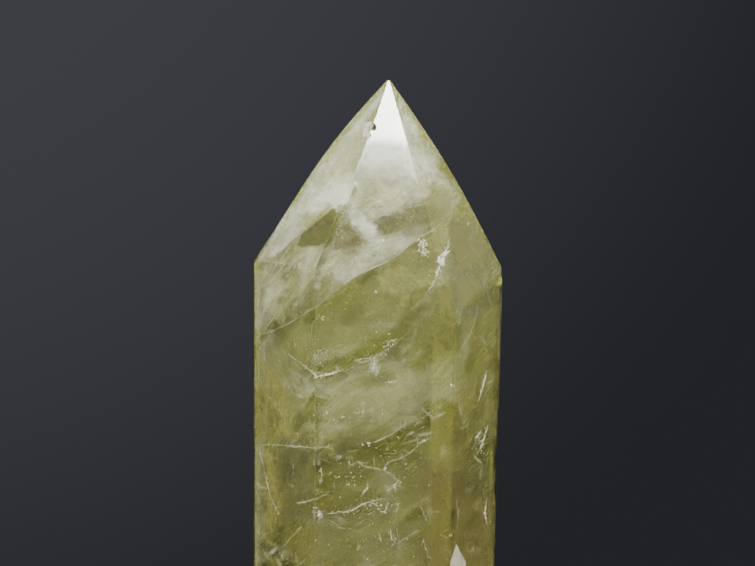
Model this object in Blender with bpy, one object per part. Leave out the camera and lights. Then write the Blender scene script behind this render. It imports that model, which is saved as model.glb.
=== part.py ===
"""Citrine crystal point: one piece of quartz, ground and polished to six upright sides and a six-sided tip.

It stands on a flat sawn base. The origin is the middle of the base, +Z is up and -Y is the front.
The upright sides taper a little towards the base, the tip leans right of the middle, and each tip face is
slightly domed, as a face held to a lapping wheel by hand comes out.
"""

from math import atan2, log, pi, radians, sin

import bmesh
import bpy
from mathutils import Euler, Vector

MM = 0.001

# The whole stone, in millimetres.
TIP_HEIGHT = 130.3  # where the ridges would meet if the tip were not blunt
TIP_X, TIP_Y = 2.3, -1.0
TIP_BLUNT = 0.01  # share of each ridge that is ground off at the tip
BASE_CHAMFER = 0.7
EDGE_ROUND = 0.55  # how far along each side the rounding of an upright edge starts
SHOULDER_ROUND = 0.5  # how far from the shoulder, up and down, its rounding starts
TIP_RINGS = 18  # levels between the shoulder and the tip, which follow the dome of the faces
EDGE_POINTS = 3  # points across the rounding of one edge

# The six upright edges, anticlockwise from above: where each starts on the base, where it ends at the
# shoulder, how far the ridge from there to the tip bows out at its peak (all in millimetres), and how far
# up the ridge that peak is, as a share of the ridge.
CORNERS = {
    "left": {"base": (-25.3, 2.3), "shoulder": (-25.15, 2.0, 93.4), "bow": (-1.75, 0.1), "peak": 0.6},
    "front_left": {"base": (-12.4, -19.7), "shoulder": (-12.3, -20.1, 91.8), "bow": (0.5, -1.2), "peak": 0.6},
    "front_right": {"base": (13.6, -19.6), "shoulder": (15.5, -20.1, 82.6), "bow": (0, -1.3), "peak": 0.55},
    "right": {"base": (22.65, -4.3), "shoulder": (25.35, -3.3, 91.7), "bow": (1.35, -0.1), "peak": 0.52},
    "back_right": {"base": (9.2, 19.3), "shoulder": (11.6, 20.1, 88.5), "bow": (0.4, 1.2), "peak": 0.6},
    "back_left": {"base": (-15.3, 19.5), "shoulder": (-14.6, 20.1, 94.6), "bow": (-0.5, 1.2), "peak": 0.6},
}

# Bruises along the edges: the edge and the level on it, which runs from -1 at the base through 0 at the
# shoulder to 1 at the tip, then the chip's half sizes, its depth and its turn, in millimetres and degrees.
CHIPS = [
    ("front_left", 0.745, (0.9, 0.9, 1.3), 0.5, (20, 30, 15)),  # the notch beside the tip
    ("front_left", 0.7, (0.6, 0.6, 1.1), 0.25, (0, 35, 40)),
    ("right", -0.005, (1.0, 1.6, 1.7), 0.6, (0, 12, 0)),  # takes the corner off the right shoulder
    ("right", -0.38, (1.6, 2.6, 9.0), 0.5, (0, 3, 25)),  # a long shallow flake
    ("right", -0.315, (0.8, 1.1, 1.6), 0.4, (10, 12, 30)),
    ("left", -0.248, (0.7, 0.7, 0.6), 0.4, (0, 20, 40)),
    ("left", -0.74, (0.8, 1.1, 1.7), 0.3, (12, 0, 50)),
    ("front_right", -0.56, (0.7, 0.6, 0.9), 0.25, (30, 10, 20)),
    ("front_left", -0.8, (0.8, 0.9, 1.6), 0.3, (15, 25, 0)),
    ("back_right", -0.41, (1.4, 1.5, 3.6), 0.4, (5, 0, 35)),
    ("back_left", 0.0, (1.2, 1.1, 1.0), 0.4, (35, 20, 10)),
    ("front_right", -1.0, (1.5, 1.2, 1.3), 0.9, (0, 8, 4)),
    ("back_left", -1.0, (1.6, 1.4, 1.7), 1.1, (20, 0, 40)),
]
CHIP_FACETS = 2  # subdivisions of the ball that bites out a chip, low enough to leave conchoidal flats


def clear_scene():
    for old in list(bpy.data.objects):
        bpy.data.objects.remove(old, do_unlink=True)


def corner_level(corner, level):
    """A corner's place, in millimetres, below its shoulder at level -1 to 0 and above it at 0 to 1."""
    shoulder = Vector(corner["shoulder"])
    if level <= 0:
        foot = Vector((*corner["base"], 0))
        return shoulder.lerp(foot, -level)
    tip = Vector((TIP_X, TIP_Y, TIP_HEIGHT))
    skew = log(0.5) / log(corner["peak"])
    bow = Vector((*corner["bow"], 0)) * sin(pi * level**skew)
    return shoulder.lerp(tip, level) + bow


def rounded_outline(points, rounding):
    """The hexagon through six points, each corner swapped for a short curve that starts rounding from it."""
    outline = []
    for i, corner in enumerate(points):
        before = corner.lerp(points[i - 1], min(0.3, rounding / (points[i - 1] - corner).length))
        after_corner = points[(i + 1) % len(points)]
        after = corner.lerp(after_corner, min(0.3, rounding / (after_corner - corner).length))
        for step in range(EDGE_POINTS):
            t = step / (EDGE_POINTS - 1)
            outline.append((1 - t) ** 2 * before + 2 * t * (1 - t) * corner + t**2 * after)
    return outline


def level_outline(level, rounding=EDGE_ROUND):
    points = [corner_level(corner, level) for corner in CORNERS.values()]
    return rounded_outline(points, rounding)


def base_outline(inset):
    """The outline at the base, drawn in towards its middle by inset."""
    outline = level_outline(-1)
    middle = sum(outline, Vector()) / len(outline)
    return [point + (middle - point).normalized() * inset for point in outline]


def side_outline(height_above_base):
    """The outline on the upright sides, this far above the base."""
    points = []
    for corner in CORNERS.values():
        level = -1 + height_above_base / corner["shoulder"][2]
        points.append(corner_level(corner, level))
    return rounded_outline(points, EDGE_ROUND)


def shoulder_outlines():
    """Three outlines that turn the shoulder over a narrow rounded edge."""
    below, crest, above = [], [], []
    for corner in CORNERS.values():
        side_share = SHOULDER_ROUND / corner["shoulder"][2]
        ridge_share = SHOULDER_ROUND / (TIP_HEIGHT - corner["shoulder"][2])
        low = corner_level(corner, -side_share)
        high = corner_level(corner, ridge_share)
        below.append(low)
        crest.append((low + 2 * corner_level(corner, 0) + high) / 4)
        above.append(high)
    return [rounded_outline(points, EDGE_ROUND) for points in (below, crest, above)]


def tip_outlines():
    """The outlines from above the shoulder to the blunt tip, their rounding shrinking as they do."""
    first = 0.06
    last = 1 - TIP_BLUNT
    outlines = []
    for ring in range(TIP_RINGS):
        level = first + (last - first) * ring / (TIP_RINGS - 1)
        outlines.append(level_outline(level, EDGE_ROUND * (1 - 0.55 * level)))
    return outlines


def loft(name, outlines):
    """A closed solid through outlines of equal length, bottom first, with a flat face at each end."""
    mesh = bmesh.new()
    rings = [[mesh.verts.new(point * MM) for point in outline] for outline in outlines]
    count = len(outlines[0])
    for lower, upper in zip(rings, rings[1:]):
        for i in range(count):
            j = (i + 1) % count
            mesh.faces.new((lower[i], lower[j], upper[j], upper[i]))
    mesh.faces.new(reversed(rings[0]))
    mesh.faces.new(rings[-1])
    bmesh.ops.recalc_face_normals(mesh, faces=mesh.faces)
    data = bpy.data.meshes.new(name)
    mesh.to_mesh(data)
    mesh.free()
    solid = bpy.data.objects.new(name, data)
    bpy.context.scene.collection.objects.link(solid)
    return solid


def chip_cutter(number, edge, level, half, depth, turn):
    """A squashed ball set on an edge, deep enough in it to bite one chip out."""
    name = f"chip_{number}"
    mesh = bmesh.new()
    bmesh.ops.create_icosphere(mesh, subdivisions=CHIP_FACETS, radius=1.0)
    data = bpy.data.meshes.new(name)
    mesh.to_mesh(data)
    mesh.free()
    cutter = bpy.data.objects.new(name, data)
    bpy.context.scene.collection.objects.link(cutter)
    on_edge = corner_level(CORNERS[edge], level)
    outward = Vector((on_edge.x, on_edge.y, 0)).normalized()
    tilt, lean, twist = (radians(angle) for angle in turn)
    cutter.location = (on_edge + outward * (half[0] - depth)) * MM
    cutter.rotation_euler = Euler((tilt, lean, atan2(outward.y, outward.x) + twist))
    cutter.scale = Vector(half) * MM
    cutter.display_type = "WIRE"
    cutter.hide_render = True
    return cutter


def bite_chips(solid):
    for number, chip in enumerate(CHIPS, start=1):
        cutter = chip_cutter(number, *chip)
        bite = solid.modifiers.new(cutter.name, "BOOLEAN")
        bite.operation = "DIFFERENCE"
        bite.solver = "EXACT"
        bite.object = cutter


def citrine_material():
    """Clear yellow-green quartz with a polished surface."""
    citrine = bpy.data.materials.new("citrine")
    citrine.use_nodes = True
    shader = citrine.node_tree.nodes["Principled BSDF"]
    shader.inputs["Base Color"].default_value = (0.55, 0.53, 0.22, 1)
    shader.inputs["Roughness"].default_value = 0.04
    shader.inputs["Metallic"].default_value = 0.0
    shader.inputs["IOR"].default_value = 1.544
    shader.inputs["Transmission Weight"].default_value = 1.0
    return citrine


def build_crystal():
    outlines = [base_outline(BASE_CHAMFER), side_outline(BASE_CHAMFER)]
    outlines += shoulder_outlines()
    outlines += tip_outlines()
    crystal = loft("crystal_point", outlines)
    bite_chips(crystal)
    crystal.data.shade_smooth()
    crystal.data.set_sharp_from_angle(angle=0.2)
    crystal.data.materials.append(citrine_material())
    return crystal


clear_scene()
build_crystal()
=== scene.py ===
# Looks of the citrine crystal point: the polished stone, and the healed cracks, veils and sparks inside it.
import math
import random

import bmesh
import bpy
from mathutils import Matrix, Vector, noise
from mathutils.bvhtree import BVHTree


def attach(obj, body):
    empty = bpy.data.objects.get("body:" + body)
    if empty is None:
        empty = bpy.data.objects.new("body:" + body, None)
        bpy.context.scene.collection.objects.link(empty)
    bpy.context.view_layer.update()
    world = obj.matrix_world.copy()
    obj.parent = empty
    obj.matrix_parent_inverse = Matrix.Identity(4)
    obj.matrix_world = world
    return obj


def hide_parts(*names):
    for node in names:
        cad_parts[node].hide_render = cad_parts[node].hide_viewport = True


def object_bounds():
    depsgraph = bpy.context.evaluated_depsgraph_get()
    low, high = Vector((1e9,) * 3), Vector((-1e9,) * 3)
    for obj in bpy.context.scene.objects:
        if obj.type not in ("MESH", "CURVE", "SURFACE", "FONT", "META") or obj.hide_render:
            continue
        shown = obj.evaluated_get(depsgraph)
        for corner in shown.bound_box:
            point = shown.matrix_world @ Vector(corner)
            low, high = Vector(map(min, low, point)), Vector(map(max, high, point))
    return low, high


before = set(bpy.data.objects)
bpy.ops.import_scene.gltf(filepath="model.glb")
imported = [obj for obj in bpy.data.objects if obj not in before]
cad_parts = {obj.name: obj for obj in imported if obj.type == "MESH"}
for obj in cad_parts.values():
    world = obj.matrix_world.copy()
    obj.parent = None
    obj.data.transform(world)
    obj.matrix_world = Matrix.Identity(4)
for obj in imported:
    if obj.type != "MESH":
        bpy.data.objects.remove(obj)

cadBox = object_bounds()
mm = 0.001
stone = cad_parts["crystal_point"]
scene = bpy.context.scene


def feed(tree, socket, value):  # links another node's output to a socket, or sets a plain value on it
    if isinstance(value, bpy.types.NodeSocket):
        tree.links.new(value, socket)
    else:
        socket.default_value = value


def addNode(tree, kind, values=None, **settings):
    node = tree.nodes.new(kind)
    for name, value in settings.items():
        setattr(node, name, value)
    for name, value in (values or {}).items():
        feed(tree, node.inputs[name], value)
    return node


def noisePattern(tree, place, scale, detail, roughness=0.5):
    values = {"Vector": place, "Scale": scale, "Detail": detail, "Roughness": roughness}
    return addNode(tree, "ShaderNodeTexNoise", values).outputs["Fac"]


def spread(tree, value, before, after=(0, 1), soft=False):  # stretches one range of values over another
    values = {"Value": value, "From Min": before[0], "From Max": before[1],
              "To Min": after[0], "To Max": after[1]}
    kind = "SMOOTHSTEP" if soft else "LINEAR"
    return addNode(tree, "ShaderNodeMapRange", values, interpolation_type=kind).outputs["Result"]


def mixColours(tree, share, first, second):  # each colour is another node's output or a plain colour
    return addNode(tree, "ShaderNodeMix", {"Factor": share, 6: first, 7: second}, data_type="RGBA").outputs[2]


def blankMaterial(name):
    material = bpy.data.materials.new(name)
    material.use_nodes = True
    return material, material.node_tree, material.node_tree.nodes["Principled BSDF"]


def meshPiece(name, bm, material, smooth=True):
    mesh = bpy.data.meshes.new(name)
    bm.to_mesh(mesh)
    bm.free()
    if smooth:
        mesh.shade_smooth()
    mesh.materials.append(material)
    piece = bpy.data.objects.new(name, mesh)
    scene.collection.objects.link(piece)
    return piece


def setInStone(piece):
    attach(piece, "root")


camera = {  # level with the upper half of the stone, far back with a long lens
    "distance": 0.8,
    "height": 0.0889,
    "frameWidth": 0.1529,  # how much of the world, at the stone, fits across the picture
    "sensor": 36.0,
}
lightPaths = {  # how often light passes or bounces, enough for many veils in a row
    "transparent_max_bounces": 40,
    "max_bounces": 16,
    "diffuse_bounces": 4,
    "transmission_bounces": 14,
    "sample_clamp_indirect": 10,  # keeps stray bright specks down
}


def makeCamera():
    data = bpy.data.cameras.new("camera")
    data.sensor_width = camera["sensor"]
    data.lens = camera["sensor"] * camera["distance"] / camera["frameWidth"]
    holder = bpy.data.objects.new("camera", data)
    holder.location = (0, -camera["distance"], camera["height"])
    holder.rotation_euler = (math.radians(90), 0, 0)
    scene.collection.objects.link(holder)
    scene.camera = holder


makeCamera()
for setting, value in lightPaths.items():
    setattr(scene.cycles, setting, value)
print("camera done")


studio = {
    "dark": (0.021, 0.0215, 0.026),
    # each soft light: where it stands, its colour and strength, the cosines of its rim and its even middle,
    # and how fast it falls off between them
    "lobes": {
        "key": ((0.285, -0.50, 0.815), (1.0, 0.99, 0.97), 72.0, 0.99488, 0.99895, 1.0),
        "keyGlow": ((0.285, -0.50, 0.815), (1.0, 0.99, 0.97), 20.0, 0.9744, 0.9962, 1.5),
        "overhead": ((0.0, -0.05, 1.0), (0.98, 0.985, 1.0), 5.6, 0.68, 0.93, 1.0),
        "left": ((-0.9, -0.25, 0.5), (1.0, 0.98, 0.93), 1.0, 0.66, 0.95, 1.0),
        "leftRear": ((-0.68, 0.5, 0.53), (1.0, 0.99, 0.94), 0.3, 0.86, 0.97, 1.0),
        "right": ((0.9, -0.3, 0.45), (1.0, 0.98, 0.93), 0.8, 0.66, 0.95, 1.0),
        "front": ((0.0, -0.8, 0.6), (1.0, 0.98, 0.94), 0.15, 0.8, 0.97, 1.0),
        "rear": ((0.1, 0.6, 0.85), (0.98, 0.98, 1.0), 1.0, 0.8, 0.97, 1.0),
        "backdrop": ((-0.15, 0.97, 0.16), (0.85, 0.87, 1.0), 0.04, 0.955, 0.999, 1.0),
    },
}


def lightStudio():
    world = bpy.data.worlds.new("studio")
    world.use_nodes = True
    tree = world.node_tree
    direction = addNode(tree, "ShaderNodeTexCoord").outputs["Generated"]
    total = studio["dark"]
    for toward, colour, strength, rim, core, falloff in studio["lobes"].values():
        aim = Vector(toward).normalized()
        dot = addNode(tree, "ShaderNodeVectorMath", {0: direction, 1: aim}, operation="DOT_PRODUCT")
        near = spread(tree, dot.outputs["Value"], (rim, core), soft=True)
        shaped = addNode(tree, "ShaderNodeMath", {0: near, 1: falloff}, operation="POWER")
        glow = {0: Vector(colour) * strength, "Scale": shaped.outputs["Value"]}
        tint = addNode(tree, "ShaderNodeVectorMath", glow, operation="SCALE")
        added = addNode(tree, "ShaderNodeVectorMath", {0: total, 1: tint.outputs["Vector"]}, operation="ADD")
        total = added.outputs["Vector"]
    feed(tree, tree.nodes["Background"].inputs["Color"], total)
    scene.world = world


lightStudio()


floor = {
    "radius": 0.1,
    "sides": 128,
    "thickness": 0.006,
    "gap": 0.00005,  # below the stone's base
    "colour": (0.72, 0.71, 0.68, 1),
    "roughness": 0.6,
}


def makeFloor():
    bm = bmesh.new()
    bmesh.ops.create_cone(bm, cap_ends=True, segments=floor["sides"], radius1=floor["radius"],
                          radius2=floor["radius"], depth=floor["thickness"])
    bmesh.ops.translate(bm, verts=bm.verts, vec=(0, 0, -floor["thickness"] / 2 - floor["gap"]))
    material, tree, shader = blankMaterial("paleFloor")
    shader.inputs["Base Color"].default_value = floor["colour"]
    shader.inputs["Roughness"].default_value = floor["roughness"]
    meshPiece("floor", bm, material, smooth=False)


makeFloor()
print("studio done")


polish = {
    "tint": (0.95, 0.95, 0.84, 1),
    "refraction": 1.544,
    "clear": 1.0,
    "absorbed": (0.908, 0.918, 0.60, 1),
    "density": 52.0,
    "smear": {"scale": 230.0, "detail": 4.0, "roughness": 0.65},
    "smearSpan": (0.35, 0.7),
    "roughness": (0.008, 0.05),  # where the polish is bright and where it is dull
    "swell": {"scale": 45.0, "detail": 1.5},
    "swellHeight": 0.00006,  # metres that the faces rise and fall in broad waves
    "scratch": {"scale": 1.0, "detail": 2.0, "roughness": 0.7},
    "scratchTurn": (0.3, 0.9, 0.2),
    "scratchScale": (2600.0, 2600.0, 160.0),  # fine across the scratches and drawn out along them
    "scratchHeight": 0.0000012,
}


def citrineMaterial():
    material, tree, shader = blankMaterial("citrine")
    shader.inputs["Base Color"].default_value = polish["tint"]
    shader.inputs["IOR"].default_value = polish["refraction"]
    shader.inputs["Transmission Weight"].default_value = polish["clear"]
    place = addNode(tree, "ShaderNodeTexCoord").outputs["Object"]
    smear = noisePattern(tree, place, **polish["smear"])
    feed(tree, shader.inputs["Roughness"], spread(tree, smear, polish["smearSpan"], polish["roughness"]))
    swell = noisePattern(tree, place, **polish["swell"])
    course = {"Vector": place, "Rotation": polish["scratchTurn"], "Scale": polish["scratchScale"]}
    turned = addNode(tree, "ShaderNodeMapping", course)
    scratch = noisePattern(tree, turned.outputs["Vector"], **polish["scratch"])
    relief = {"Height": swell, "Strength": 1.0, "Distance": polish["swellHeight"]}
    waves = addNode(tree, "ShaderNodeBump", relief)
    relief = {"Height": scratch, "Strength": 1.0, "Distance": polish["scratchHeight"],
              "Normal": waves.outputs["Normal"]}
    marks = addNode(tree, "ShaderNodeBump", relief)
    feed(tree, shader.inputs["Normal"], marks.outputs["Normal"])
    depth = {"Color": polish["absorbed"], "Density": polish["density"]}
    body = addNode(tree, "ShaderNodeVolumeAbsorption", depth)
    feed(tree, tree.nodes["Material Output"].inputs["Volume"], body.outputs["Volume"])
    return material


facets = {  # what tells the polished faces from rounded edges and chips
    "merge": 0.000002,  # metres between corners that become one
    "level": 0.9,  # the upward part of its normal past which a face is the base or the blunt top
    "edgeLevel": 0.95,
    "sameFace": 3.5,  # degrees between two strips of one polished face
    "faceArea": 60.0,  # square millimetres that a polished face has at least
    "chipArea": 15.0,  # square millimetres that a flat of a chip has at most
    "hollow": -0.03,  # radians that it folds inwards, at least, along one side
    "evenOver": 5.0,  # millimetres up and down over which a face's normals are evened out
}


def isChip(face):  # a bite out of an edge is hollow, and every polished face is flat or domed
    folds = [edge.calc_face_angle_signed(0) for edge in face.edges]
    return face.calc_area() < facets["chipArea"] * mm**2 and min(folds) < facets["hollow"]


def polishedFaces(bm):  # gathers the strips of each polished face, upright or on the tip
    groups = []
    sameFace = math.radians(facets["sameFace"])
    unplaced = {face for face in bm.faces if abs(face.normal.z) < facets["level"]}
    while unplaced:
        grown = [unplaced.pop()]
        for face in grown:
            for edge in face.edges:
                for other in edge.link_faces:
                    if other in unplaced and other.normal.angle(face.normal) < sameFace:
                        unplaced.discard(other)
                        grown.append(other)
        if sum(face.calc_area() for face in grown) > facets["faceArea"] * mm**2:
            groups.append(grown)
    return groups


def faceNormals(group):  # the normal of a polished face at a height, evened out from strip to strip
    heights = [face.calc_center_median().z for face in group]
    areas = [face.calc_area() for face in group]

    def normalAt(height):
        total = Vector()
        for face, centre, area in zip(group, heights, areas):
            total += face.normal * area * math.exp(-((centre - height) / (facets["evenOver"] * mm)) ** 2)
        return total.normalized() if total.length > 0 else group[0].normal

    return normalAt


def polishStone():
    bm = bmesh.new()
    bm.from_mesh(stone.data)
    bmesh.ops.remove_doubles(bm, verts=bm.verts, dist=facets["merge"])
    skin = BVHTree.FromBMesh(bm)
    bm.faces.ensure_lookup_table()
    bm.verts.ensure_lookup_table()
    owner = {}
    smoothed = {}
    groups = polishedFaces(bm)
    normalOf = [faceNormals(group) for group in groups]
    for number, group in enumerate(groups):
        for face in group:
            owner[face.index] = number
            for vert in face.verts:
                smoothed.setdefault(vert.index, {})[face.index] = normalOf[number](vert.co.z)
    edges = {face.index for face in bm.faces if face.index not in owner and not isChip(face)
             and abs(face.normal.z) < facets["edgeLevel"]}
    normals = []
    for face in bm.faces:
        near = [other.index for vert in face.verts for other in vert.link_faces]
        beside = {owner[index] for index in near if index in owner}
        for vert in face.verts:
            own = smoothed.get(vert.index, {})
            if face.index in own:
                normals.append(own[face.index])
            elif face.index in edges and len(beside) == 1:  # each half of a rounded edge joins its own face
                normals.append(normalOf[min(beside)](vert.co.z))
            elif face.index in edges and own:
                normals.append(sum(own.values(), Vector()).normalized())
            elif face.index in edges:
                rounding = [other.normal for other in vert.link_faces if other.index in edges]
                normals.append(sum(rounding, Vector()).normalized())
            else:
                normals.append(face.normal.copy())
    piece = meshPiece("polished_stone", bm, citrineMaterial())
    piece.data.normals_split_custom_set([tuple(normal) for normal in normals])
    setInStone(piece)
    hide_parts("crystal_point")
    return skin


skinTree = polishStone()
print("stone done")


# Where things lie in the stone, as they are placed and as they show from the front.
heart = Vector((0, 0, 55)) * mm  # well inside the stone
eye = Vector((0, -camera["distance"], camera["height"]))
sightings = 2  # rounds that bring a place inside back to where it shows
halvings = 8  # rounds that find where a sheet leaves the stone


def depthInside(point):  # metres below the nearest polished face, negative outside
    if not all(low < place < high for low, place, high in zip(cadBox[0], point, cadBox[1])):
        return -10 * mm
    distance = skinTree.find_nearest(point)[3]
    home = heart - point
    crossed = skinTree.ray_cast(point, home.normalized(), home.length)[0]
    return distance if crossed is None else -distance


def lookIn(x, z):  # where a look at x, z from the front meets the stone, and how it bends there
    ray = (Vector((x, 0, z)) * mm - eye).normalized()
    hit, normal = skinTree.ray_cast(eye, ray)[:2]
    if hit is None:
        return None, ray
    ratio = 1 / polish["refraction"]
    cosine = -normal.dot(ray)
    return hit, ray * ratio + normal * (ratio * cosine - math.sqrt(1 - ratio**2 * (1 - cosine**2)))


def seenAt(x, z, depth):  # the place that shows at x, z, this far behind the face it shows through
    hit, bent = lookIn(x, z)
    return None if hit is None else hit + bent * depth * mm


def shownAt(point):  # where a place inside the stone shows, as x and z in millimetres
    x, z = point.x / mm, point.z / mm
    for sighting in range(sightings):
        hit, bent = lookIn(x, z)
        if hit is None:
            break
        reached = hit + bent * ((point.y - hit.y) / bent.y)
        x += (point.x - reached.x) / mm
        z += (point.z - reached.z) / mm
    return x, z


def trimSheet(bm, verts, margin):  # cuts a sheet off just inside the polished faces
    depths = {vert: depthInside(vert.co) - margin for vert in verts}
    gone = []
    moved = {}
    for vert, depth in depths.items():
        if depth >= 0:
            continue
        inner = [edge.other_vert(vert) for edge in vert.link_edges]
        inner = [other for other in inner if depths.get(other, -1) >= 0]
        if not inner:
            gone.append(vert)
            continue
        out, within = vert.co.copy(), inner[0].co.copy()
        for halving in range(halvings):
            middle = (out + within) / 2
            if depthInside(middle) < margin:
                out = middle
            else:
                within = middle
        moved[vert] = within
    for vert, place in moved.items():
        vert.co = place
    bmesh.ops.delete(bm, geom=gone, context="VERTS")
    return [vert for vert in verts if vert.is_valid]


def smoothLine(points, step):  # a curve through the points, one new point every step
    line = []
    padded = [points[0] * 2 - points[1], *points, points[-1] * 2 - points[-2]]
    for a, b, c, d in zip(padded, padded[1:], padded[2:], padded[3:]):
        count = max(1, int((c - b).length / step + 0.5))
        for number in range(count):
            t = number / count
            line.append(0.5 * (2 * b + (c - a) * t + (2 * a - 5 * b + 4 * c - d) * t**2
                               + (3 * b - a - 3 * c + d) * t**3))
    return [*line, points[-1]]


def smoothStep(value, low, high):
    share = min(1, max(0, (value - low) / (high - low)))
    return share * share * (3 - 2 * share)


def ripple(place, waves, seed=0):  # how high broad waves with finer ones on them stand at a place
    broad, fine, fineShare = waves
    return noise.noise(place * broad + Vector((seed, 0, 0))) + fineShare * noise.noise(place * fine)


def scatter(draw, width):  # a random step in any direction
    return Vector([draw.gauss(0, width) for axis in range(3)])


paints = {
    "white": (0.97, 0.98, 0.93, 1),
    "milk": (0.80, 0.80, 0.60, 1),
    "pale": (0.62, 0.62, 0.40, 1),
    "olive": (0.40, 0.40, 0.165, 1),
    "gold": (0.44, 0.42, 0.14, 1),
    # painted shade: this paint and the four below are dark, standing in for shade where clear stone shows the
    # dark depths behind it, or where the front lies in shade
    "brown": (0.29, 0.27, 0.15, 1),
    "dark": (0.165, 0.166, 0.045, 1),
    "umber": (0.21, 0.18, 0.08, 1),
    "moss": (0.24, 0.238, 0.085, 1),
    "dim": (0.23, 0.225, 0.115, 1),
    # painted reflection: the pale grey of a reflection
    "ash": (0.60, 0.60, 0.50, 1),
}
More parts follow.
